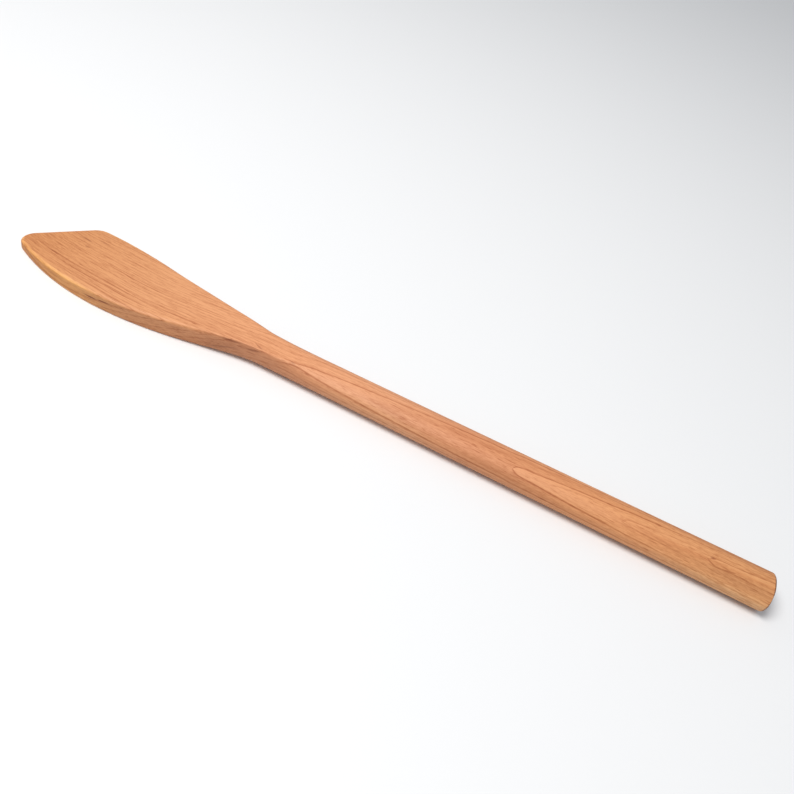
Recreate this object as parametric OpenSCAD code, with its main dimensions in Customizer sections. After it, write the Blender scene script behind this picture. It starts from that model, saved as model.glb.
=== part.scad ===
// Wooden cooking spatula, carved from one piece of cherry.
// The handle runs along X with its butt at +X, and the slanted tip is at -X.
// The bellied edge is on the -Y side, and the planed back lies on Z = 0.
// The origin is on the back, under the handle's centre line, midway along the whole length.

/* [Handle] */
// Length of the handle, from the butt end to where the blade begins to spread
handle_length = 214; // [120:1:260]
// Width of the handle at the butt end
butt_width = 16.5; // [12:0.5:26]
// Thickness of the handle at the butt end
butt_thickness = 12.5; // [9:0.5:20]
// Width of the handle at the neck, where the blade begins
neck_width = 15; // [10:0.5:24]
// Thickness of the handle at the neck
neck_thickness = 9.6; // [8:0.1:16]
// How oval the handle is: the share of its half width and half thickness that is rounded off
handle_roundness = 0.92; // [0.4:0.01:0.97]
// Radius worn round the rim of the butt end
butt_rim = 0.8; // [0.5:0.1:4]
// Depth of the flat that the knife left along the handle's upper bellied side, at the butt
facet_depth = 1.2; // [0.2:0.1:1.5]
// Length of that flat, over which it fades out
facet_length = 70; // [30:1:110]
// Way that the flat faces: 0 is straight up, and 90 is straight out to the bellied side
facet_angle = 46; // [30:1:60]

/* [Blade outline] */
// Length of the blade, from the neck to the long corner of the tip
blade_length = 116; // [90:1:170]
// How far the short corner of the tip stays back from the long corner
tip_setback = 21; // [0:0.5:30]
// Distance of the long corner from the handle's centre line
long_corner_side = 3.4; // [0:0.1:20]
// Distance of the short corner from the handle's centre line
short_corner_side = 23.2; // [16:0.1:32]
// Angle at which the bellied edge turns in towards the long corner
belly_angle = 27.5; // [5:0.5:40]
// Pull of the belly back from the long corner, which sets how full it is
belly_reach = 50; // [25:0.5:60]
// Pull of the neck on the bellied edge, which sets how late it spreads
belly_neck_reach = 24.5; // [10:0.5:45]
// Angle between the handle and the straight edge, where it meets the short corner
straight_angle = 7.8; // [0:0.1:15]
// Pull of the straight edge back from the short corner
straight_reach = 28; // [10:0.5:45]
// Pull of the neck on the straight edge
straight_neck_reach = 12; // [8:0.5:40]
// Radius of the long corner
long_corner_radius = 4.5; // [1:0.1:7]
// Radius of the short corner
short_corner_radius = 4.7; // [1:0.1:8]

/* [Blade thickness] */
// Thickness of the blade past its shoulder, where the cooking end begins
shoulder_thickness = 7.2; // [5.5:0.1:9]
// Distance from the neck over which the handle thins down to the shoulder
shoulder_length = 62; // [30:1:75]
// Thickness along the slanted tip edge
tip_thickness = 4; // [2:0.1:5.5]
// How late the cooking end thins: 1 is an even wedge, and more keeps it thick for longer
wedge_power = 1.6; // [1:0.1:3]

/* [Edges] */
// Width of the rounding along the blade's edges
edge_width = 1.8; // [0.6:0.1:3]
// Height of the rounding along the blade's edges
edge_height = 1.1; // [0.6:0.1:1.8]
// Distance before the neck at which the bellied side's ridge starts to sharpen out of the round handle
belly_ridge_start = 30; // [4:1:40]
// Length over which that ridge sharpens
belly_ridge_length = 26; // [15:1:70]
// Distance before the neck at which the straight side's ridge starts to sharpen
straight_ridge_start = 22; // [4:1:40]
// Length over which that ridge sharpens
straight_ridge_length = 40; // [15:1:70]
// Distance before the neck at which the round sides start to square up
square_start = 6; // [0:1:40]
// Length over which they square up
square_length = 50; // [20:1:70]
// Depth planed off the back, which leaves it flat
back_flat = 0.4; // [0.2:0.05:0.55]

/* [Smoothness] */
// Slices along the evenly tapered part of the handle
handle_slices = 8; // [2:1:20]
// Slices from where the first ridge starts to the neck
neck_slices = 9; // [2:1:12]
// Slices along the blade
blade_slices = 44; // [20:1:60]
// Slices round the tip, and round the butt's rim
end_slices = 7; // [4:1:10]
// Steps round each corner of a slice
corner_steps = 7; // [4:1:10]

/* [Hidden] */

overall_length = handle_length + blade_length;
butt_x = overall_length / 2;
neck_half = neck_width / 2;
// The arris takes at most this share of the thin tip's thickness on each face
arris_share = 0.45;
arris_height = min(edge_height, arris_share * (tip_thickness + back_flat));
// A slice's corner never takes quite half of its width or height
corner_share = 0.49;
// Room round the body for the blocks that cut it
cut_margin = 10;

// An eased step from 0 to 1, a blend, a unit vector at an angle, a quarter turn, and a cubic curve
function ease(t) = let (c = min(1, max(0, t))) c * c * (3 - 2 * c);
function mix(a, b, t) = a + (b - a) * t;
function heading(angle) = [cos(angle), sin(angle)];
function left_of(v) = [-v[1], v[0]];
function curve(p, u) =
    pow(1 - u, 3) * p[0] + 3 * u * pow(1 - u, 2) * p[1] + 3 * u * u * (1 - u) * p[2] + pow(u, 3) * p[3];

// Outline points are [distance from the butt, distance from the centre line].
// The straight edge is on the positive side, and the bellied edge on the negative side.
// A corner is rounded by an arc that touches both of its sides. It is given by the sharp corner,
// the headings into and out of it, and the radius.
function turn_of(into, out) = atan2(into[0] * out[1] - into[1] * out[0], into * out);
function arc_start(corner, into, out, radius) = corner - into * radius * tan(abs(turn_of(into, out)) / 2);
function arc_point(corner, into, out, radius, share) =
    let (
        turn = turn_of(into, out),
        inwards = sign(turn) * left_of(into),
        swept = abs(turn) * share
    )
    arc_start(corner, into, out, radius) + radius * (into * sin(swept) + inwards * (1 - cos(swept)));

// The slanted tip edge runs from the long corner to the short corner. The sharp long corner lies
// further out than the blade's end, by what its rounding takes off.
short_corner = [overall_length - tip_setback, short_corner_side];
blade_end = [overall_length, -long_corner_side];
tip_heading = (short_corner - blade_end) / norm(short_corner - blade_end);
belly_heading = heading(belly_angle);
straight_heading = heading(straight_angle);
rounded_end = max([for (i = [0 : end_slices])
    arc_point(blade_end, belly_heading, tip_heading, long_corner_radius, i / end_slices)[0]]);
long_corner = blade_end + [overall_length - rounded_end, 0];

belly_end = arc_start(long_corner, belly_heading, tip_heading, long_corner_radius);
straight_end = arc_start(short_corner, straight_heading, -tip_heading, short_corner_radius);
belly_edge = [
    [handle_length, -neck_half],
    [handle_length + belly_neck_reach, -neck_half],
    belly_end - belly_heading * belly_reach,
    belly_end
];
straight_edge = [
    [handle_length, neck_half],
    [handle_length + straight_neck_reach, neck_half],
    straight_end - straight_heading * straight_reach,
    straight_end
];

// Half width of the handle, and height of the top face above the back, at a distance from the butt
function handle_half(s) = mix(butt_width, neck_width, min(1, s / handle_length)) / 2;
function handle_top(s) = mix(butt_thickness, neck_thickness, s / handle_length);
wedge_length = blade_length - tip_setback / 2 - shoulder_length;
function blade_top(s) =
    let (past_neck = s - handle_length, past_shoulder = max(0, past_neck - shoulder_length))
    mix(neck_thickness, shoulder_thickness, ease(past_neck / shoulder_length))
    - (shoulder_thickness - tip_thickness) * pow(past_shoulder / wedge_length, wedge_power);
function top_at(s) = s < handle_length ? handle_top(s) : blade_top(s);

// Rounding of a slice's corners: oval on the handle, and a small arris on the blade. The flat top
// sharpens into its two ridges before the sides square up, so the sides still lean in at the neck.
function oval_width(half) = handle_roundness * half;
function oval_height(s) = handle_roundness * (top_at(s) + back_flat) / 2;
function sharpness(s, start, length) = ease((s - handle_length + start) / length);
function corner_widths(s, half) =
    let (
        squared = sharpness(s, square_start, square_length),
        straight_ridge = sharpness(s, straight_ridge_start, straight_ridge_length),
        belly_ridge = sharpness(s, belly_ridge_start, belly_ridge_length)
    )
    [for (sharp = [squared, straight_ridge, belly_ridge, squared]) mix(oval_width(half), edge_width, sharp)];
function corner_height(s) = mix(oval_height(s), arris_height, sharpness(s, square_start, square_length));

// A slice is [point on the bellied side, point on the straight side, bottom, top, corner widths,
// corner height]. Its bottom starts below the back's plane, by what is planed off. Its corners are
// low and high on the straight side, then high and low on the bellied side.
function slice(belly_point, straight_point, inset) =
    let (
        s = (belly_point[0] + straight_point[0]) / 2,
        half = min(handle_half(s), norm(straight_point - belly_point) / 2)
    )
    [
        belly_point, straight_point, inset - back_flat, top_at(s) - inset,
        corner_widths(s, half), corner_height(s)
    ];
function handle_slice(s, inset) =
    let (half = handle_half(s) - inset)
    slice([s, -half], [s, half], inset);

// The butt's rim: slices shrink by a quarter circle as they reach the end
rim_slices = [for (i = [end_slices : -1 : 0])
    let (angle = 90 * i / end_slices)
    handle_slice(butt_rim * (1 - sin(angle)), butt_rim * (1 - cos(angle)))];
first_ridge = max(belly_ridge_start, straight_ridge_start, square_start);
taper_slices = [for (i = [1 : handle_slices])
    handle_slice(mix(butt_rim, handle_length - first_ridge, i / handle_slices), 0)];
sharpening_slices = [for (i = [1 : neck_slices])
    handle_slice(handle_length - first_ridge * (1 - i / neck_slices), 0)];
spreading_slices = [for (i = [1 : blade_slices])
    let (share = i / blade_slices)
    slice(curve(belly_edge, share), curve(straight_edge, share), 0)];

// The tip: slices follow both corner arcs, and thin out as they near the slanted edge
function distance_to_tip(p) = abs((p - long_corner) * left_of(tip_heading));
function tip_inset(d) = arris_height - sqrt(pow(arris_height, 2) - pow(max(0, arris_height - d), 2));
tip_slices = [for (i = [1 : end_slices])
    let (
        share = i / end_slices,
        belly_point = arc_point(long_corner, belly_heading, tip_heading, long_corner_radius, share),
        straight_point =
            arc_point(short_corner, straight_heading, -tip_heading, short_corner_radius, share)
    )
    slice(belly_point, straight_point, tip_inset(distance_to_tip((belly_point + straight_point) / 2)))];

slices = concat(rim_slices, taper_slices, sharpening_slices, spreading_slices, tip_slices);

// One slice as a ring of points, round its four corners in turn
function ring(cut) =
    let (
        span = norm(cut[1] - cut[0]),
        across = (cut[1] - cut[0]) / span,
        rx = [for (width = cut[4]) min(width, corner_share * span)],
        rz = min(cut[5], corner_share * (cut[3] - cut[2])),
        centres = [
            [span - rx[0], cut[2] + rz],
            [span - rx[1], cut[3] - rz],
            [rx[2], cut[3] - rz],
            [rx[3], cut[2] + rz]
        ]
    )
    [for (corner = [0 : 3]) for (i = [0 : corner_steps])
        let (
            angle = 90 * (corner - 1 + i / corner_steps),
            place = cut[0] + across * (centres[corner][0] + rx[corner] * cos(angle))
        )
        [butt_x - place[0], place[1], centres[corner][1] + rz * sin(angle)]];

// The carved body: the slices joined one to the next, and closed at both ends
module carved_body() {
    ring_size = 4 * (corner_steps + 1);
    last_slice = len(slices) - 1;
    sides = [for (i = [0 : last_slice - 1]) for (j = [0 : ring_size - 1])
        let (a = i * ring_size + j, b = i * ring_size + (j + 1) % ring_size)
        each [[a, a + ring_size, b + ring_size], [a, b + ring_size, b]]];
    butt_face = [for (j = [0 : ring_size - 1]) j];
    tip_face = [for (j = [ring_size - 1 : -1 : 0]) last_slice * ring_size + j];
    polyhedron([for (cut = slices) each ring(cut)], concat(sides, [butt_face, tip_face]), convexity = 4);
}

// The block of wood that the plane takes off below the back
module planed_off() {
    translate([-butt_x - cut_margin, -butt_x, -cut_margin])
        cube([overall_length + 2 * cut_margin, overall_length, cut_margin]);
}

// How far the oval handle reaches in the way that the facet faces
function facet_reach(s) =
    let (half = handle_half(s), wide = oval_width(half), tall = oval_height(s))
    (half - wide) * sin(facet_angle) + (handle_top(s) - tall) * cos(facet_angle)
    + norm([wide * sin(facet_angle), tall * cos(facet_angle)]);

// The block of wood that the knife takes off at the butt: its lower face is the facet, which rises
// towards the blade until it leaves the handle
module facet_off() {
    rise = facet_reach(facet_length) - facet_reach(0) + facet_depth;
    translate([butt_x, 0, 0])
        rotate([facet_angle, 0, 0])
            translate([0, 0, facet_reach(0) - facet_depth])
                rotate([0, atan(rise / facet_length), 0])
                    translate([-norm([facet_length, rise]), -butt_width, 0])
                        cube([norm([facet_length, rise]) + cut_margin, 2 * butt_width, cut_margin]);
}

// The whole spatula, with its back planed flat and the facet cut
module spatula() {
    color([0.80, 0.50, 0.30])
    difference() {
        carved_body();
        planed_off();
        facet_off();
    }
}

spatula();
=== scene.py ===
import math

import bmesh
import bpy
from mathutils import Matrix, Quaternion, Vector


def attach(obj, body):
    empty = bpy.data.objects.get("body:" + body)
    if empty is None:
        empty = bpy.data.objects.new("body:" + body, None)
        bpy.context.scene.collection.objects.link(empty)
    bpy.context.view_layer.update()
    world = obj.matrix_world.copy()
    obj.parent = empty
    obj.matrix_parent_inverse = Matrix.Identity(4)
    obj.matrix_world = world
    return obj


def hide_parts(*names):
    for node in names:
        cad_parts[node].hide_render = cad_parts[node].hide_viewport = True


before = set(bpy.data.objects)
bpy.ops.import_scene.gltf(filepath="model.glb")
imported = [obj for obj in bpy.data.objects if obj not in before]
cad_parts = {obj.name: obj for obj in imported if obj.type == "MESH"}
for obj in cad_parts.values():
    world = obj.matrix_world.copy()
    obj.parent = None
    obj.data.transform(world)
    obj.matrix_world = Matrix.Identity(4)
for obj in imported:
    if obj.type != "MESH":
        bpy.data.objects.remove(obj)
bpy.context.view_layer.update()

millimetre = 0.001

# The photograph's camera as it stood to the part, in metres and degrees. The lens and the sensor are
# in millimetres.
shot = {
    "place": (0.044719, -0.220970, 0.227233),
    "aim": (0.006001, 0.013264, 0.0),
    "roll": 19.496,
    "lens": 36.045,
    "sensor": 36.0,
    "clip": (0.01, 50.0),
}


def makeCamera():
    data = bpy.data.cameras.new("shotCamera")
    data.lens = shot["lens"]
    data.sensor_width = shot["sensor"]
    data.clip_start, data.clip_end = shot["clip"]
    camera = bpy.data.objects.new("shotCamera", data)
    bpy.context.scene.collection.objects.link(camera)
    place = Vector(shot["place"])
    level = (Vector(shot["aim"]) - place).to_track_quat("-Z", "Y")
    camera.location = place
    camera.rotation_mode = "QUATERNION"
    camera.rotation_quaternion = level @ Quaternion((0, 0, 1), math.radians(shot["roll"]))
    bpy.context.scene.camera = camera


makeCamera()
print("camera made")

# The studio: a pale floor under one big soft light, with a weaker one and a pale sky that open the
# shadows
studio = {
    "floorHalf": 6.0,
    "floorColour": (0.80, 0.805, 0.815),
    "floorRoughness": 0.6,
    "skyColour": (0.93, 0.96, 1.0),
    "skyStrength": 0.45,
    "lights": [
        # name, place, aim, size, watts, colour
        ("keyLight", (-0.38, -0.19, 1.0), (0.0, 0.0, 0.0), 0.6, 10.5, (1.0, 0.985, 0.96)),
        ("fillLight", (0.5, -0.7, 1.1), (0.0, 0.0, 0.0), 0.9, 1.5, (1.0, 1.0, 1.0)),
    ],
}


def opaque(colour):
    return (*colour, 1.0)


def makeStudio():
    bm = bmesh.new()
    bmesh.ops.create_grid(bm, x_segments=1, y_segments=1, size=studio["floorHalf"])
    mesh = bpy.data.meshes.new("floor")
    bm.to_mesh(mesh)
    bm.free()
    floor = bpy.data.objects.new("floor", mesh)
    bpy.context.scene.collection.objects.link(floor)
    paper = bpy.data.materials.new("palePaper")
    paper.use_nodes = True
    shader = paper.node_tree.nodes["Principled BSDF"]
    shader.inputs["Base Color"].default_value = opaque(studio["floorColour"])
    shader.inputs["Roughness"].default_value = studio["floorRoughness"]
    mesh.materials.append(paper)

    world = bpy.data.worlds.new("softRoom")
    world.use_nodes = True
    sky = world.node_tree.nodes["Background"]
    sky.inputs["Color"].default_value = opaque(studio["skyColour"])
    sky.inputs["Strength"].default_value = studio["skyStrength"]
    bpy.context.scene.world = world

    for name, place, aim, size, watts, colour in studio["lights"]:
        data = bpy.data.lights.new(name, "AREA")
        data.shape = "DISK"
        data.size = size
        data.energy = watts
        data.color = colour
        light = bpy.data.objects.new(name, data)
        bpy.context.scene.collection.objects.link(light)
        light.location = place
        light.rotation_mode = "QUATERNION"
        light.rotation_quaternion = (Vector(aim) - Vector(place)).to_track_quat("-Z", "Y")

    bpy.context.scene.view_settings.view_transform = "Standard"
    bpy.context.scene.view_settings.look = "None"


makeStudio()
print("studio made")

# The carved body: sizes in millimetres and angles in degrees. Reaches say how far a curve holds the
# direction that it starts or ends with.
body = {
    # The handle
    "handleLength": 214.0,
    "buttWidth": 16.5,
    "buttThickness": 12.5,
    "neckWidth": 15.0,
    "neckThickness": 9.6,
    "handleRoundness": 0.92,
    "buttRim": 1.1,
    # The blade's outline: the belly ends in the long corner, and the straight side in the short one
    "bladeLength": 116.0,
    "tipSetback": 21.0,
    "longCornerSide": 3.4,
    "shortCornerSide": 23.2,
    "bellyAngle": 27.5,
    "bellyReach": 50.0,
    "bellyNeckReach": 24.5,
    "straightAngle": 7.8,
    "straightReach": 28.0,
    "straightNeckReach": 12.0,
    "longCornerRadius": 4.5,
    "shortCornerRadius": 4.7,
    # The blade's thickness: it eases down to the shoulder, and then thins in a curved wedge
    "shoulderThickness": 7.2,
    "shoulderLength": 62.0,
    "tipThickness": 4.0,
    "wedgePower": 1.6,
    # The blade's arris, and the most of the tip's thickness that it may take
    "edgeWidth": 1.8,
    "edgeHeight": 1.1,
    "edgeShare": 0.45,
    # The bellied side's ridge is crisper at the neck: its width there, and where it widens again
    "neckRidgeWidth": 0.9,
    "neckRidgeEnd": 234.0,
    "neckRidgeFade": 26.0,
    # How far before the neck each ridge and the square sides start to form, and over what length
    "bellyRidgeStart": 30.0,
    "bellyRidgeLength": 26.0,
    "straightRidgeStart": 22.0,
    "straightRidgeLength": 40.0,
    "squareStart": 6.0,
    "squareLength": 50.0,
    # How much the plane takes off the back, and the most of a cut that one rounded corner may take
    "backFlat": 0.4,
    "cornerShare": 0.49,
    # The knife facet at the butt
    "facetDepth": 1.2,
    "facetLength": 70.0,
    "facetAngle": 46.0,
    # The softened rims of the back and of the facet
    "backRim": 0.35,
    "facetRim": 0.45,
    # How fine the mesh is, and how squarely a face looks down where it counts as the planed back
    "rimCuts": 8,
    "handleCuts": 70,
    "ridgeCuts": 14,
    "bladeCuts": 96,
    "tipCuts": 14,
    "tipTries": 40,
    "backStrips": 6,
    "flatStrips": 4,
    "cornerSteps": 8,
    "backRimSteps": 3,
    "planed": 0.999,
}
overall = body["handleLength"] + body["bladeLength"]


def ease(t):
    c = min(1.0, max(0.0, t))
    return c * c * (3 - 2 * c)


def mix(a, b, t):
    return a + (b - a) * t


def heading(angle):
    return Vector((math.cos(math.radians(angle)), math.sin(math.radians(angle))))


def leftOf(v):
    return Vector((-v.y, v.x))


def curvePoint(points, u):
    # A point on the curve that leaves the first point towards the second and ends from the third
    a, b, c, d = points
    return a * (1 - u) ** 3 + b * (3 * u * (1 - u) ** 2) + c * (3 * u * u * (1 - u)) + d * u**3


def cornerArc(corner, into, out, radius, share):
    # A point on the arc that rounds a sharp corner, from 0 where it starts to 1 where it ends
    turn = math.atan2(into.x * out.y - into.y * out.x, into.dot(out))
    inwards = leftOf(into) * (1 if turn > 0 else -1)
    swept = abs(turn) * share
    start = corner - into * (radius * math.tan(abs(turn) / 2))
    return start + (into * math.sin(swept) + inwards * (1 - math.cos(swept))) * radius


def handleHalf(s):
    # Half the handle's width, s millimetres from the butt
    return mix(body["buttWidth"], body["neckWidth"], min(1.0, s / body["handleLength"])) / 2


def topHeight(s):
    # How high the top lies above the planed back
    past = s - body["handleLength"]
    if past < 0:
        return mix(body["buttThickness"], body["neckThickness"], s / body["handleLength"])
    wedge = body["bladeLength"] - body["tipSetback"] / 2 - body["shoulderLength"]
    thinned = (max(0.0, past - body["shoulderLength"]) / wedge) ** body["wedgePower"]
    level = mix(body["neckThickness"], body["shoulderThickness"], ease(past / body["shoulderLength"]))
    return level - (body["shoulderThickness"] - body["tipThickness"]) * thinned


def bladeOutline():
    # Outline points are (distance from the butt, distance from the centre line). The long corner is
    # set so that its rounding just reaches the blade's full length.
    shortCorner = Vector((overall - body["tipSetback"], body["shortCornerSide"]))
    bladeEnd = Vector((overall, -body["longCornerSide"]))
    tipWay = (shortCorner - bladeEnd).normalized()
    bellyWay = heading(body["bellyAngle"])
    straightWay = heading(body["straightAngle"])
    radius = body["longCornerRadius"]
    tries = [i / body["tipTries"] for i in range(body["tipTries"] + 1)]
    farthest = max(cornerArc(bladeEnd, bellyWay, tipWay, radius, share).x for share in tries)
    longCorner = bladeEnd + Vector((overall - farthest, 0))

    def bellyArc(share):
        return cornerArc(longCorner, bellyWay, tipWay, radius, share)

    def straightArc(share):
        return cornerArc(shortCorner, straightWay, -tipWay, body["shortCornerRadius"], share)

    neckHalf = body["neckWidth"] / 2
    neck = body["handleLength"]
    belly = [
        Vector((neck, -neckHalf)),
        Vector((neck + body["bellyNeckReach"], -neckHalf)),
        bellyArc(0) - bellyWay * body["bellyReach"],
        bellyArc(0),
    ]
    straight = [
        Vector((neck, neckHalf)),
        Vector((neck + body["straightNeckReach"], neckHalf)),
        straightArc(0) - straightWay * body["straightReach"],
        straightArc(0),
    ]
    return {
        "belly": belly,
        "straight": straight,
        "bellyArc": bellyArc,
        "straightArc": straightArc,
        "longCorner": longCorner,
        "tipWay": tipWay,
    }


def arrisHeight():
    return min(body["edgeHeight"], body["edgeShare"] * (body["tipThickness"] + body["backFlat"]))


def ovalRounding(s, half):
    # How wide and how tall the oval handle's rounded corners are
    share = body["handleRoundness"]
    return share * half, share * (topHeight(s) + body["backFlat"]) / 2


def facetWay():
    # The facet faces out to the bellied side and up
    angle = math.radians(body["facetAngle"])
    return math.sin(angle), math.cos(angle)


def facetReach(s):
    # How far the oval handle reaches in the direction that the facet faces
    half = handleHalf(s)
    wide, tall = ovalRounding(s, half)
    out, up = facetWay()
    return (half - wide) * out + (topHeight(s) - tall) * up + math.hypot(wide * out, tall * up)


def cutFacet(s, y, z):
    # The flat that the knife left on the bellied side at the butt, with its rims eased
    share = s / body["facetLength"]
    if share > 1:
        return y, z
    limit = mix(facetReach(0) - body["facetDepth"], facetReach(body["facetLength"]), share)
    out, up = facetWay()
    over = up * z - out * y - limit
    rim = body["facetRim"] * (1 - share)
    if over >= rim:
        taken = over
    elif over > -rim:
        taken = (over + rim) ** 2 / (4 * rim)
    else:
        taken = 0.0
    return y + out * taken, z - up * taken


def cutThrough(bellyPoint, straightPoint, inset):
    # One cut across the body: its two ends, bottom, top, and the rounding of its corners
    s = (bellyPoint.x + straightPoint.x) / 2
    span = (straightPoint - bellyPoint).length
    bottom = inset - body["backFlat"]
    top = topHeight(s) - inset
    # The flat top sharpens into its ridges first, and the sides square up after it
    bellyRidge, straightRidge, square = [
        ease((s - body["handleLength"] + body[name + "Start"]) / body[name + "Length"])
        for name in ("bellyRidge", "straightRidge", "square")
    ]
    ovalWide, ovalTall = ovalRounding(s, min(handleHalf(s), span / 2))
    widened = ease((s - body["neckRidgeEnd"]) / body["neckRidgeFade"])
    bellyWidth = mix(body["neckRidgeWidth"], body["edgeWidth"], widened)
    corners = [
        # width and sharpness: straight low, straight high, belly high, belly low
        (body["edgeWidth"], square),
        (body["edgeWidth"], straightRidge),
        (bellyWidth, bellyRidge),
        (body["edgeWidth"], square),
    ]
    most = body["cornerShare"]
    return {
        "from": bellyPoint,
        "along": (straightPoint - bellyPoint) / span,
        "span": span,
        "bottom": bottom,
        "top": top,
        "wide": [min(mix(ovalWide, edge, sharp), most * span) for edge, sharp in corners],
        "tall": min(mix(ovalTall, arrisHeight(), square), most * (top - bottom)),
    }


def handleCut(s, inset):
    # A cut square across the handle, drawn in all round by the inset
    half = handleHalf(s) - inset
    return cutThrough(Vector((s, -half)), Vector((s, half)), inset)


def allCuts():
    # From the butt to the tip: the butt's rounded rim, the handle, the neck, the blade, and the tip's
    # edge, where the cuts turn from square across to along the slant
    outline = bladeOutline()
    cuts = []
    rim = body["buttRim"]
    for i in range(body["rimCuts"], -1, -1):
        angle = math.radians(90 * i / body["rimCuts"])
        cuts.append(handleCut(rim * (1 - math.sin(angle)), rim * (1 - math.cos(angle))))
    ridge = body["handleLength"] - body["bellyRidgeStart"]
    for i in range(1, body["handleCuts"] + 1):
        cuts.append(handleCut(mix(rim, ridge, i / body["handleCuts"]), 0))
    for i in range(1, body["ridgeCuts"] + 1):
        cuts.append(handleCut(mix(ridge, body["handleLength"], i / body["ridgeCuts"]), 0))
    for i in range(1, body["bladeCuts"] + 1):
        share = i / body["bladeCuts"]
        belly = curvePoint(outline["belly"], share)
        straight = curvePoint(outline["straight"], share)
        cuts.append(cutThrough(belly, straight, 0))
    side = leftOf(outline["tipWay"])
    height = arrisHeight()
    for i in range(1, body["tipCuts"] + 1):
        share = i / body["tipCuts"]
        belly = outline["bellyArc"](share)
        straight = outline["straightArc"](share)
        left = abs(((belly + straight) / 2 - outline["longCorner"]).dot(side))
        inset = height - math.sqrt(height**2 - max(0.0, height - left) ** 2)
        cuts.append(cutThrough(belly, straight, inset))
    return cuts


def ringPlan():
    # Each point of a ring by the corner that it rounds, the share of that corner's arc, and the share
    # of the way to the next corner. Corners are numbered 0 straight low, 1 straight high, 2 belly high
    # and 3 belly low.
    plan = []
    steps = body["cornerSteps"]
    for corner in range(4):
        for i in range(steps + 1):
            plan.append((corner, i / steps, None))
        strips = body["backStrips"] if corner == 3 else body["flatStrips"]
        for i in range(1, strips):
            plan.append((corner, 1.0, i / strips))
    return plan


def cornerPoint(cut, corner, share):
    # Where a corner's arc is, across the cut and up. The low corners stop at the planed back.
    wide, tall = cut["wide"][corner], cut["tall"]
    low = math.degrees(math.asin(min(1.0, max(-1.0, -(cut["bottom"] + tall) / tall))))
    starts = [low, 0, 90, 180]
    ends = [0, 90, 180, 180 - low]
    angle = math.radians(mix(starts[corner], ends[corner], share))
    across = cut["span"] - wide if corner < 2 else wide
    up = cut["bottom"] + tall if corner in (0, 3) else cut["top"] - tall
    return across + wide * math.cos(angle), up + tall * math.sin(angle)


def placeRing(verts, cut, plan):
    for vert, (corner, share, between) in zip(verts, plan):
        across, up = cornerPoint(cut, corner, share)
        if between is not None:
            nextAcross, nextUp = cornerPoint(cut, (corner + 1) % 4, 0)
            across = mix(across, nextAcross, between)
            up = mix(up, nextUp, between)
        flat = cut["from"] + cut["along"] * across
        y, z = cutFacet(flat.x, flat.y, up)
        vert.co = Vector((overall / 2 - flat.x, y, max(0.0, z))) * millimetre


def carveBody():
    # A ring of points is drawn at the butt and grown cut by cut to the tip
    plan = ringPlan()
    cuts = allCuts()
    bm = bmesh.new()
    ringOf = bm.verts.layers.int.new("placeInRing")
    bmesh.ops.create_circle(bm, segments=len(plan), radius=millimetre)
    ring = list(bm.verts)
    for i, vert in enumerate(ring):
        vert[ringOf] = i
    placeRing(ring, cuts[0], plan)
    edges = list(bm.edges)
    for cut in cuts[1:]:
        grown = bmesh.ops.extrude_edge_only(bm, edges=edges)["geom"]
        ring = [g for g in grown if isinstance(g, bmesh.types.BMVert)]
        ring.sort(key=lambda v: v[ringOf])
        edges = [g for g in grown if isinstance(g, bmesh.types.BMEdge)]
        placeRing(ring, cut, plan)
    # Two ends are left open, the butt's and the tip's
    ends = [e for e in bm.edges if e.is_boundary]
    bmesh.ops.holes_fill(bm, edges=ends, sides=0)
    bmesh.ops.recalc_face_normals(bm, faces=bm.faces)
    return bm


def softenBack(bm):
    # The sharp rim that the plane leaves round the back is eased by sandpaper
    rim = []
    for edge in bm.edges:
        lows = [f.normal.z < -body["planed"] for f in edge.link_faces]
        if len(lows) == 2 and lows[0] != lows[1]:
            rim.append(edge)
    bmesh.ops.bevel(
        bm,
        geom=rim,
        offset=body["backRim"] * millimetre,
        offset_type="OFFSET",
        affect="EDGES",
        segments=body["backRimSteps"],
        profile=0.5,
        material=-1,
        clamp_overlap=True,
    )


def makeBody():
    bm = carveBody()
    softenBack(bm)
    bm.normal_update()
    for face in bm.faces:
        face.smooth = face.normal.z > -body["planed"]
    mesh = bpy.data.meshes.new("spatulaBody")
    bm.to_mesh(mesh)
    bm.free()
    piece = bpy.data.objects.new("spatulaBody", mesh)
    bpy.context.scene.collection.objects.link(piece)
    return piece


spatulaBody = makeBody()
print("body carved", len(spatulaBody.data.polygons), "faces")

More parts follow.
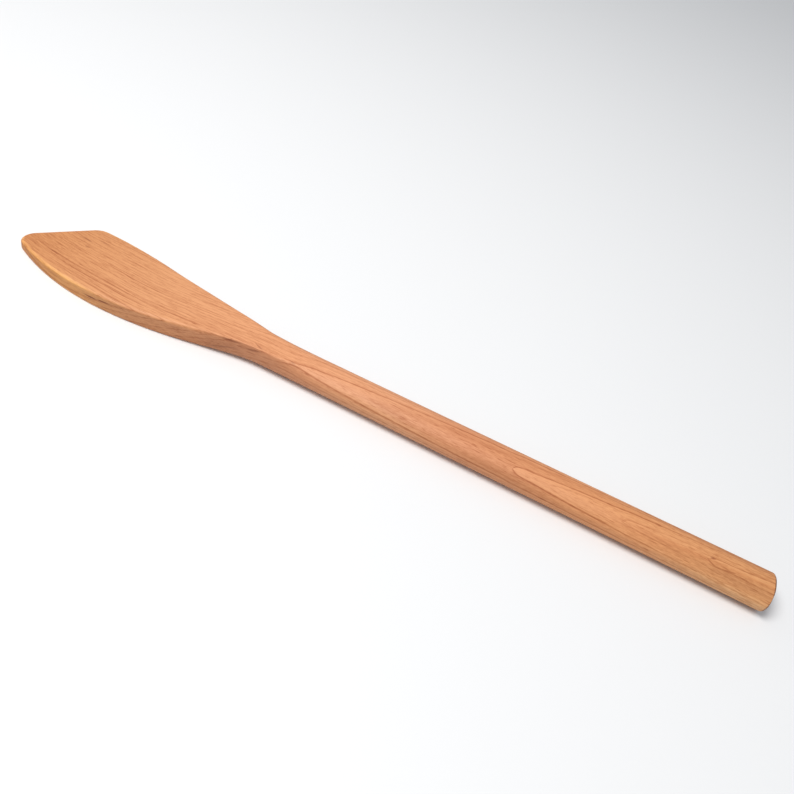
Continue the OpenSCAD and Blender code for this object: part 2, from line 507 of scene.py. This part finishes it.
# Cherry wood, worked out in millimetres from the piece's own coordinates. The growth rings are
# leaning sheets, which the round handle cuts into arches and the flat blade into long lines.
# Places along the wood are distances from the butt. A shade of 0 is bright wood, and 1 is dark wood.
cherry = {
    "brightWood": (0.665, 0.305, 0.136),
    "darkWood": (0.440, 0.158, 0.058),
    "lineWood": (0.325, 0.096, 0.030),
    "gumWood": (0.190, 0.028, 0.0),
    # The shade that has the full colour of the rings' lines
    "lineShade": 1.5,
    # The sheets: where their depth is counted from, how they lean on the handle and on the blade, the
    # stretch where one turns into the other, and how they drift along the wood, up to a place
    "ringHeight": 9.5,
    "ringSide": -5.0,
    "handleLean": 25.0,
    "bladeLean": 56.0,
    "neckTurn": (195.0, 240.0),
    "ringDrift": 0.014,
    "driftTo": 240.0,
    # Where an arch is blunter than the even lean makes it: place, half length, and how far it bulges
    "bluntArches": [
        (25.0, 4.0, 0.32),
        (60.0, 5.0, 0.10),
        (105.0, 6.0, 0.26),
    ],
    # The first arch closes in a cusp below the neck: place, half length, and how far the rings sink.
    # The line at this depth fades out past it.
    "cusp": (202.5, 9.0, 0.88),
    "cuspLine": -3.41,
    "cuspFade": (200.5, 206.0),
    # The grain swings aside towards the tip
    "swingFrom": 260.0,
    "swing": 0.0025,
    # The zones that the handle shows: depth in millimetres, and shade
    "ringShades": [
        (-4.10, 0.40),
        (-3.44, 0.54),
        (-3.39, 0.22),
        (-2.90, 0.38),
        (-2.40, 0.72),
        (-1.60, 0.46),
        (-1.02, 0.62),
        (-0.97, 0.00),
        (-0.72, 0.14),
        (-0.62, 0.30),
        (-0.58, 0.16),
        (-0.20, 0.26),
        (0.17, 0.44),
        (0.21, 0.16),
        (0.62, 0.34),
        (0.66, 0.26),
        (0.86, 0.54),
        (0.90, 0.12),
        (1.90, 0.40),
    ],
    # How far in from each end of these zones they blend into the other rings
    "zonesIn": 0.4,
    "zonesOut": 0.6,
    # The dark lines where a ring ends: depth, darkness at the butt, and darkness further on
    "ringLines": [
        (-17.50, 0.55, 0.55),
        (-12.30, 0.35, 0.35),
        (-8.60, 0.30, 0.30),
        (-5.40, 0.50, 0.50),
        (-3.41, 0.60, 0.90),
        (-0.985, 0.55, 1.15),
        (-0.60, 0.20, 0.35),
        (0.19, 0.30, 0.65),
        (0.64, 0.25, 0.40),
        (0.88, 0.95, 0.95),
        (4.20, 0.30, 0.30),
    ],
    # How wide a line looks on the surface, and the flattest that a ring may lie to the surface in this
    # reckoning, so that the arches' tips stay drawn
    "lineWidth": 0.56,
    "lineFloor": 0.030,
    # On the blade the lines come and go: how long the worn places are, the noise where they are
    # weakest and strongest, and the share of darkness left there
    "wearSpacing": (0.045, 0.25, 0.25),
    "wearNoise": (0.36, 0.62),
    "lineWear": (0.25, 0.76),
    # At the butt the rings' shades are more even: where that fades, the even shade, and how near to it
    "buttFade": (15.0, 75.0),
    "buttShade": 0.32,
    "buttEven": 0.50,
    # The other rings: their width, how uneven it is and how often it changes, the part of a ring that
    # darkens, the part where the next one starts bright, the palest and darkest, and the shade between
    "ringWidth": 1.22,
    "ringUneven": 1.10,
    "unevenSpacing": 0.45,
    "lateWood": (0.30, 0.96),
    "earlyWood": (0.965, 1.0),
    "ringPale": 0.25,
    "ringDark": 0.85,
    "ringBetween": 0.18,
    # The fibres make the rings ragged: how close the rags lie, and how far they reach on the handle
    # and on the blade
    "raggedSpacing": (0.035, 1.60, 1.60),
    "raggedReach": (0.035, 0.42),
    # How much the rings weigh against the streaks
    "ringWeight": 0.80,
    # Streaks along the grain: how close they lie along and across, and weight at the butt, on the
    # handle and on the blade. The last are the fibres that can be felt.
    "streaks": [
        ((0.016, 0.38, 0.38), 0.25, 0.45, 0.68),
        ((0.045, 0.95, 0.95), 0.35, 0.55, 1.02),
        ((0.110, 2.30, 2.30), 0.80, 0.80, 1.50),
        ((0.180, 0.70, 0.70), 0.90, 0.30, 0.0),
        ((0.450, 3.00, 3.00), 1.60, 1.30, 1.10),
    ],
    # How much of the finest detail the noise keeps
    "speckleRoughness": 0.55,
    # Fine pores, as short dark flecks: how close they lie, the noise where one starts and is full, and
    # how dark it is
    "poreSpacing": (0.20, 2.20, 2.20),
    "poreNoise": (0.62, 0.74),
    "poreDark": 0.55,
    # Broad colour along the wood, partly the wood's own tone and partly painted light and shade along
    # the piece: place and tint
    "toneAndLightTints": [
        (0.0, (1.00, 1.03, 0.92)),
        (60.0, (1.08, 1.07, 1.00)),
        (125.0, (1.01, 0.94, 0.98)),
        (155.0, (1.10, 1.12, 1.27)),
        (200.0, (1.10, 1.08, 1.15)),
        (265.0, (1.02, 1.02, 1.01)),
        (330.0, (0.87, 0.79, 0.61)),
    ],
    # Gum marks, and soft places that are only a little darker: middle (place, side, height), half
    # length and half width, slopes to the side and up, and darkness
    "gumMarks": [
        ((285.5, -16.5, 3.95), 3.8, 0.46, 0.04, -0.06, 1.00),
        ((279.6, -16.55, 4.65), 3.8, 0.36, -0.02, -0.09, 1.00),
        ((309.2, 11.95, 4.85), 3.8, 0.56, 0.24, -0.10, 0.60),
        ((305.3, 7.3, 5.45), 1.6, 0.60, 0.12, -0.10, 0.40),
        ((301.4, 14.0, 5.45), 3.4, 0.40, 0.12, -0.10, 0.40),
        ((313.8, -3.6, 5.25), 4.0, 0.45, 0.10, -0.06, 0.32),
        ((246.0, -3.5, 8.35), 3.6, 0.36, 0.03, -0.03, 0.22),
        ((214.8, -5.4, 9.5), 2.9, 0.46, 0.43, 0.05, 0.48),
        ((225.8, -8.1, 8.7), 5.2, 0.60, -0.18, -0.04, 0.60),
        ((215.4, -7.0, 8.4), 4.4, 0.60, -0.143, -0.214, 0.62),
        ((229.0, -9.4, 4.3), 7.5, 0.60, -0.167, -0.290, 0.50),
        ((200.3, -5.1, 9.5), 2.0, 0.50, 0.20, 0.0, 0.45),
        ((212.5, 0.8, 9.6), 2.2, 0.35, 0.05, 0.0, 0.18),
        ((24.9, -2.3, 12.0), 1.2, 0.60, 0.0, -0.01, 0.55),
        ((59.0, 2.9, 11.43), 19.0, 0.34, -0.041, -0.004, 0.28),
        ((17.0, 3.6, 11.8), 14.0, 1.40, 0.0, -0.013, 0.12),
        ((108.0, -6.8, 7.8), 24.0, 2.10, 0.0, -0.010, 0.18),
        ((14.0, -6.2, 9.6), 15.0, 2.00, 0.0, 0.020, 0.12),
        ((158.0, -5.4, 8.9), 14.0, 1.60, 0.06, 0.0, 0.10),
    ],
    # A mark's ragged rim: how close the rags lie, how far they reach, and where it starts and ends
    "gumSpacing": (0.5, 3.0, 3.0),
    "gumRagged": 0.7,
    "gumRim": (0.65, 1.55),
    # Painted shade and light on the side faces: painted shade below the neck's ridge most of all and
    # along the blade's sides, and painted light, lighter and bluer, on the butt's lower side: place
    # and tint
    "paintedEdgeShading": [
        (0.0, (1.07, 1.23, 1.38)),
        (25.0, (1.05, 1.19, 1.30)),
        (52.0, (1.0, 1.01, 1.01)),
        (170.0, (0.88, 0.90, 0.86)),
        (194.0, (0.79, 0.75, 0.73)),
        (222.0, (0.73, 0.67, 0.65)),
        (240.0, (0.99, 0.95, 0.89)),
        (270.0, (0.84, 0.81, 0.73)),
        (298.0, (1.08, 1.14, 0.84)),
        (318.0, (0.92, 0.86, 0.50)),
    ],
    # How level the surface still is where the painted side shade starts, at the neck and on the blade
    "edgeTurn": (226.0, 246.0),
    "edgeLevel": (0.97, 0.80),
    "edgeBlend": 0.45,
    # The blade's arris catches more light: its tint, how level it is, and where it starts
    "arrisTint": (1.22, 1.38, 1.26),
    "arrisLevel": ((0.30, 0.60), (0.93, 0.998)),
    "arrisFrom": (276.0, 296.0),
    # Painted shade on the knife facet at the butt and on slopes as level as it: its tint, how level it
    # is, and where it ends
    "facetTint": (0.86, 0.76, 0.66),
    "facetLevel": ((0.55, 0.75), (0.90, 0.985)),
    "facetTo": (35.0, 80.0),
    # The end grain drinks the most oil: tints, and how squarely the surface faces along the wood
    "buttTint": (0.42, 0.32, 0.28),
    "buttFacing": (0.10, 0.38),
    "tipTint": (0.66, 0.58, 0.52),
    "tipFacing": (0.50, 0.85),
    # How matt bright and dark wood are, and the shades where these hold
    "roughness": (0.56, 0.70),
    "roughShades": (0.1, 0.9),
    # How deep the fibres can be felt
    "fibreDepth": 0.03,
    "fibreStrength": 0.6,
}


def addNode(tree, kind, **settings):
    node = tree.nodes.new(kind)
    for name, value in settings.items():
        setattr(node, name, value)
    return node


def feed(tree, socket, value):
    # A socket takes another node's output, or a plain value
    if isinstance(value, bpy.types.NodeSocket):
        tree.links.new(value, socket)
    else:
        socket.default_value = value


def work(tree, operation, *values):
    node = addNode(tree, "ShaderNodeMath", operation=operation)
    for socket, value in zip(node.inputs, values):
        feed(tree, socket, value)
    return node.outputs[0]


def remap(tree, value, low, high, toLow=0.0, toHigh=1.0, easing="SMOOTHSTEP"):
    node = addNode(tree, "ShaderNodeMapRange", interpolation_type=easing)
    for socket, given in zip(node.inputs, (value, low, high, toLow, toHigh)):
        feed(tree, socket, given)
    return node.outputs[0]


def plateau(tree, value, rise, fall):
    # 1 between a rise and a fall, and 0 outside them
    return work(tree, "MULTIPLY", remap(tree, value, *rise), remap(tree, value, *fall, 1.0, 0.0))


def hill(tree, along, place, half):
    # How far along lies past a place, in half lengths, and a round hill about that place
    past = work(tree, "DIVIDE", work(tree, "SUBTRACT", along, place), half)
    squared = work(tree, "MULTIPLY", past, past)
    return past, work(tree, "EXPONENT", work(tree, "MULTIPLY", squared, -1.0))


def gather(tree, x, y, z):
    node = addNode(tree, "ShaderNodeCombineXYZ")
    for socket, value in zip(node.inputs, (x, y, z)):
        feed(tree, socket, value)
    return node.outputs[0]


def makeNoise(tree, socketName, place, detail, **settings):
    # Noise about 0.5 at a place that is already scaled
    node = addNode(tree, "ShaderNodeTexNoise", **settings)
    feed(tree, node.inputs[socketName], place)
    feed(tree, node.inputs["Scale"], 1.0)
    feed(tree, node.inputs["Detail"], detail)
    return node


def speckle(tree, grain, spacing, detail=2.0):
    # Noise stretched along the grain
    place = gather(
        tree,
        work(tree, "MULTIPLY", grain["along"], spacing[0]),
        work(tree, "MULTIPLY", grain["fibreSide"], spacing[1]),
        work(tree, "MULTIPLY", grain["fibreUp"], spacing[2]),
    )
    node = makeNoise(tree, "Vector", place, detail)
    feed(tree, node.inputs["Roughness"], cherry["speckleRoughness"])
    return node.outputs[0]


def layOver(tree, share, under, over, how="MIX"):
    # One colour over another by a share, or as a tint by MULTIPLY
    node = addNode(tree, "ShaderNodeMix", data_type="RGBA", blend_type=how)
    feed(tree, node.inputs[0], share)
    feed(tree, node.inputs[6], under)
    feed(tree, node.inputs[7], over)
    return node.outputs[2]


def shadeRamp(tree, value, stops):
    # A colour or shade for each place along a value, blended between
    low, high = stops[0][0], stops[-1][0]
    node = addNode(tree, "ShaderNodeValToRGB")
    feed(tree, node.inputs[0], remap(tree, value, low, high, easing="LINEAR"))
    elements = node.color_ramp.elements
    for i, (place, shade) in enumerate(stops):
        if i == 0:
            element = elements[0]
        elif i == len(stops) - 1:
            element = elements[len(elements) - 1]
        else:
            element = elements.new((place - low) / (high - low))
        element.color = opaque(shade if isinstance(shade, tuple) else (shade, shade, shade))
    return node.outputs[0]


def readGrain(tree):
    # Where each point of the wood lies along the grain, among the fibres and in the rings
    coords = addNode(tree, "ShaderNodeTexCoord")
    mapping = addNode(tree, "ShaderNodeMapping")
    feed(tree, mapping.inputs["Vector"], coords.outputs["Object"])
    feed(tree, mapping.inputs["Scale"], (1 / millimetre, 1 / millimetre, 1 / millimetre))
    split = addNode(tree, "ShaderNodeSeparateXYZ")
    feed(tree, split.inputs[0], mapping.outputs[0])
    along = work(tree, "SUBTRACT", overall / 2, split.outputs[0])
    past = work(tree, "MAXIMUM", work(tree, "SUBTRACT", along, cherry["swingFrom"]), 0.0)
    swing = work(tree, "MULTIPLY", work(tree, "MULTIPLY", past, past), cherry["swing"])
    side = work(tree, "SUBTRACT", work(tree, "SUBTRACT", split.outputs[1], cherry["ringSide"]), swing)
    up = work(tree, "SUBTRACT", split.outputs[2], cherry["ringHeight"])

    # The sheets' depth: they lean, and drift up and down along the wood
    handleLean = math.radians(cherry["handleLean"])
    bladeLean = math.radians(cherry["bladeLean"])
    lean = remap(tree, along, *cherry["neckTurn"], handleLean, bladeLean)
    cosine = work(tree, "COSINE", lean)
    sine = work(tree, "SINE", lean)
    drifting = work(tree, "MINIMUM", along, cherry["driftTo"])
    drift = work(tree, "MULTIPLY", drifting, cherry["ringDrift"])
    for place, half, bulge in cherry["bluntArches"]:
        past, nearby = hill(tree, along, place, half)
        wave = work(tree, "MULTIPLY", past, nearby)
        drift = work(tree, "ADD", drift, work(tree, "MULTIPLY", wave, bulge))
    place, half, sink = cherry["cusp"]
    past, nearby = hill(tree, along, place, half)
    drift = work(tree, "ADD", drift, work(tree, "MULTIPLY", nearby, sink))
    upPart = work(tree, "MULTIPLY", cosine, up)
    sidePart = work(tree, "MULTIPLY", sine, side)
    depth = work(tree, "SUBTRACT", work(tree, "SUBTRACT", upPart, sidePart), drift)

    # How fast the depth changes along the surface, so that a line looks equally wide all over
    normal = addNode(tree, "ShaderNodeSeparateXYZ")
    feed(tree, normal.inputs[0], coords.outputs["Normal"])
    buttward, sideward, upward = normal.outputs
    upPart = work(tree, "MULTIPLY", upward, cosine)
    sidePart = work(tree, "MULTIPLY", sideward, sine)
    alongPart = work(tree, "MULTIPLY", buttward, cherry["ringDrift"])
    facing = work(tree, "ADD", alongPart, work(tree, "SUBTRACT", upPart, sidePart))
    squared = work(tree, "MULTIPLY", facing, facing)
    steep = work(tree, "SUBTRACT", 1 + cherry["ringDrift"] ** 2, squared)
    return {
        "place": mapping.outputs[0],
        "along": along,
        "depth": depth,
        "fibreSide": side,
        "fibreUp": work(tree, "SUBTRACT", up, drift),
        "change": work(tree, "SQRT", work(tree, "MAXIMUM", steep, cherry["lineFloor"] ** 2)),
        "buttward": buttward,
        "level": work(tree, "ABSOLUTE", upward),
    }


def chartRings(tree, grain, depth):
    # The rings that the photo shows one by one
    charted = shadeRamp(tree, depth, cherry["ringShades"])
    evened = remap(tree, grain["along"], *cherry["buttFade"], cherry["buttEven"], 0.0)
    lift = work(tree, "MULTIPLY", work(tree, "SUBTRACT", cherry["buttShade"], charted), evened)
    return work(tree, "ADD", charted, lift)


def otherRings(tree, depth):
    # Past the charted rings they follow each other at an uneven width
    spaced = work(tree, "MULTIPLY", depth, cherry["unevenSpacing"])
    uneven = makeNoise(tree, "W", spaced, detail=1.0, noise_dimensions="1D")
    count = work(tree, "DIVIDE", depth, cherry["ringWidth"])
    count = work(tree, "ADD", count, work(tree, "MULTIPLY", uneven.outputs[0], cherry["ringUneven"]))
    within = work(tree, "FRACT", count)
    late = remap(tree, within, *cherry["lateWood"])
    early = remap(tree, within, *cherry["earlyWood"])
    each = addNode(tree, "ShaderNodeTexWhiteNoise", noise_dimensions="1D")
    feed(tree, each.inputs["W"], work(tree, "FLOOR", count))
    darkness = remap(tree, each.outputs[0], 0.0, 1.0, cherry["ringPale"], cherry["ringDark"], "LINEAR")
    late = work(tree, "MULTIPLY", late, late)
    ring = work(tree, "MULTIPLY", late, work(tree, "SUBTRACT", 1.0, early))
    return work(tree, "ADD", work(tree, "MULTIPLY", ring, darkness), cherry["ringBetween"])


def growRings(tree, grain):
    # The charted rings blended into the others, with the dark lines on top
    ragged = work(tree, "SUBTRACT", speckle(tree, grain, cherry["raggedSpacing"], detail=3.0), 0.5)
    reach = remap(tree, grain["along"], *cherry["neckTurn"], *cherry["raggedReach"])
    depth = work(tree, "ADD", grain["depth"], work(tree, "MULTIPLY", ragged, reach))
    first, last = cherry["ringShades"][0][0], cherry["ringShades"][-1][0]
    rise = (first, first + cherry["zonesIn"])
    fall = (last - cherry["zonesOut"], last)
    inside = plateau(tree, depth, rise, fall)
    blend = addNode(tree, "ShaderNodeMix", data_type="FLOAT")
    feed(tree, blend.inputs[0], inside)
    feed(tree, blend.inputs[2], otherRings(tree, depth))
    feed(tree, blend.inputs[3], chartRings(tree, grain, depth))

    shade = blend.outputs[0]
    worn = speckle(tree, grain, cherry["wearSpacing"], detail=1.0)
    kept = remap(tree, worn, *cherry["wearNoise"], *cherry["lineWear"])
    onBlade = remap(tree, grain["along"], *cherry["neckTurn"])
    lost = work(tree, "MULTIPLY", onBlade, work(tree, "SUBTRACT", 1.0, kept))
    kept = work(tree, "SUBTRACT", 1.0, lost)
    for ringEnd, buttDark, laterDark in cherry["ringLines"]:
        darkness = remap(tree, grain["along"], *cherry["buttFade"], buttDark, laterDark)
        away = work(tree, "DIVIDE", work(tree, "SUBTRACT", depth, ringEnd), grain["change"])
        line = remap(tree, work(tree, "ABSOLUTE", away), 0.0, cherry["lineWidth"], darkness, 0.0)
        if ringEnd == cherry["cuspLine"]:
            beforeCusp = remap(tree, grain["along"], *cherry["cuspFade"], 1.0, 0.0)
            line = work(tree, "MULTIPLY", line, beforeCusp)
        shade = work(tree, "ADD", shade, work(tree, "MULTIPLY", line, kept))
    return shade


def dropGum(tree, grain):
    # Each mark is a long drop that follows the grain, with a ragged rim
    ragged = work(tree, "MULTIPLY", speckle(tree, grain, cherry["gumSpacing"]), cherry["gumRagged"])
    gum = None
    for (along, side, height), half, width, slope, rise, darkness in cherry["gumMarks"]:
        drop = addNode(tree, "ShaderNodeMapping", vector_type="TEXTURE")
        feed(tree, drop.inputs["Vector"], grain["place"])
        feed(tree, drop.inputs["Location"], (overall / 2 - along, side, height))
        feed(tree, drop.inputs["Rotation"], (0.0, math.atan(rise), math.atan(-slope)))
        feed(tree, drop.inputs["Scale"], (half, width, width))
        length = addNode(tree, "ShaderNodeVectorMath", operation="LENGTH")
        feed(tree, length.inputs[0], drop.outputs[0])
        reach = work(tree, "ADD", length.outputs["Value"], ragged)
        mark = remap(tree, reach, *cherry["gumRim"], darkness, 0.0)
        gum = mark if gum is None else work(tree, "MAXIMUM", gum, mark)
    return gum


def oilAndLightShares(tree, grain):
    # How far each part of the surface takes its own tint. The side faces take painted shade, at the
    # neck right up to its ridge and on the blade only below its arris, and painted light on the butt's
    # lower side. The arris takes a painted highlight and the facet painted shade, while the end
    # grain's darker tints are the wood's own.
    along = grain["along"]
    level = remap(tree, along, *cherry["edgeTurn"], *cherry["edgeLevel"])
    blendEnd = work(tree, "SUBTRACT", level, cherry["edgeBlend"])
    arris = plateau(tree, grain["level"], *cherry["arrisLevel"])
    facet = plateau(tree, grain["level"], *cherry["facetLevel"])
    tipward = work(tree, "MULTIPLY", grain["buttward"], -1.0)
    return {
        "edge": remap(tree, grain["level"], blendEnd, level, 1.0, 0.0),
        "arris": work(tree, "MULTIPLY", arris, remap(tree, along, *cherry["arrisFrom"])),
        "facet": work(tree, "MULTIPLY", facet, remap(tree, along, *cherry["facetTo"], 1.0, 0.0)),
        "butt": remap(tree, grain["buttward"], *cherry["buttFacing"]),
        "tip": remap(tree, tipward, *cherry["tipFacing"]),
    }


def makeCherry():
    wood = bpy.data.materials.new("cherryWood")
    wood.use_nodes = True
    tree = wood.node_tree
    shader = tree.nodes["Principled BSDF"]
    grain = readGrain(tree)

    # From 0 for bright wood to 1 for dark wood, and past it for the lines
    shade = work(tree, "MULTIPLY", growRings(tree, grain), cherry["ringWeight"])
    for spacing, atButt, onHandle, onBlade in cherry["streaks"]:
        fibres = work(tree, "SUBTRACT", speckle(tree, grain, spacing), 0.5)
        weight = remap(tree, grain["along"], *cherry["buttFade"], atButt, onHandle)
        weight = remap(tree, grain["along"], *cherry["neckTurn"], weight, onBlade)
        shade = work(tree, "ADD", shade, work(tree, "MULTIPLY", fibres, weight))
    flecks = speckle(tree, grain, cherry["poreSpacing"], detail=1.0)
    pores = remap(tree, flecks, *cherry["poreNoise"], 0.0, cherry["poreDark"])
    shade = work(tree, "ADD", shade, pores)

    darkest = cherry["lineShade"]
    held = work(tree, "MINIMUM", work(tree, "MAXIMUM", shade, 0.0), darkest)
    stops = [(0.0, cherry["brightWood"]), (1.0, cherry["darkWood"]), (darkest, cherry["lineWood"])]
    bare = shadeRamp(tree, held, stops)
    tinted = layOver(tree, 1.0, bare, shadeRamp(tree, grain["along"], cherry["toneAndLightTints"]), "MULTIPLY")
    markedAndShaded = layOver(tree, dropGum(tree, grain), tinted, opaque(cherry["gumWood"]))
    # Painted shade and light over the marked wood: shade on the side faces and the facet, light on the
    # butt's lower side and a highlight on the arris. The end grain's tints are the wood's own colour.
    shares = oilAndLightShares(tree, grain)
    paintedEdgeTint = shadeRamp(tree, grain["along"], cherry["paintedEdgeShading"])
    markedAndShaded = layOver(tree, shares["edge"], markedAndShaded, paintedEdgeTint, "MULTIPLY")
    for part in ("arris", "facet", "butt", "tip"):
        markedAndShaded = layOver(tree, shares[part], markedAndShaded, opaque(cherry[part + "Tint"]), "MULTIPLY")
    feed(tree, shader.inputs["Base Color"], markedAndShaded)

    matt = remap(tree, shade, *cherry["roughShades"], *cherry["roughness"], "LINEAR")
    feed(tree, shader.inputs["Roughness"], matt)
    bump = addNode(tree, "ShaderNodeBump")
    feed(tree, bump.inputs["Strength"], cherry["fibreStrength"])
    feed(tree, bump.inputs["Distance"], cherry["fibreDepth"] * millimetre)
    feed(tree, bump.inputs["Height"], fibres)
    feed(tree, shader.inputs["Normal"], bump.outputs[0])
    return wood


spatulaBody.data.materials.append(makeCherry())
print("cherry laid")

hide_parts("spatula")
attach(spatulaBody, "root")
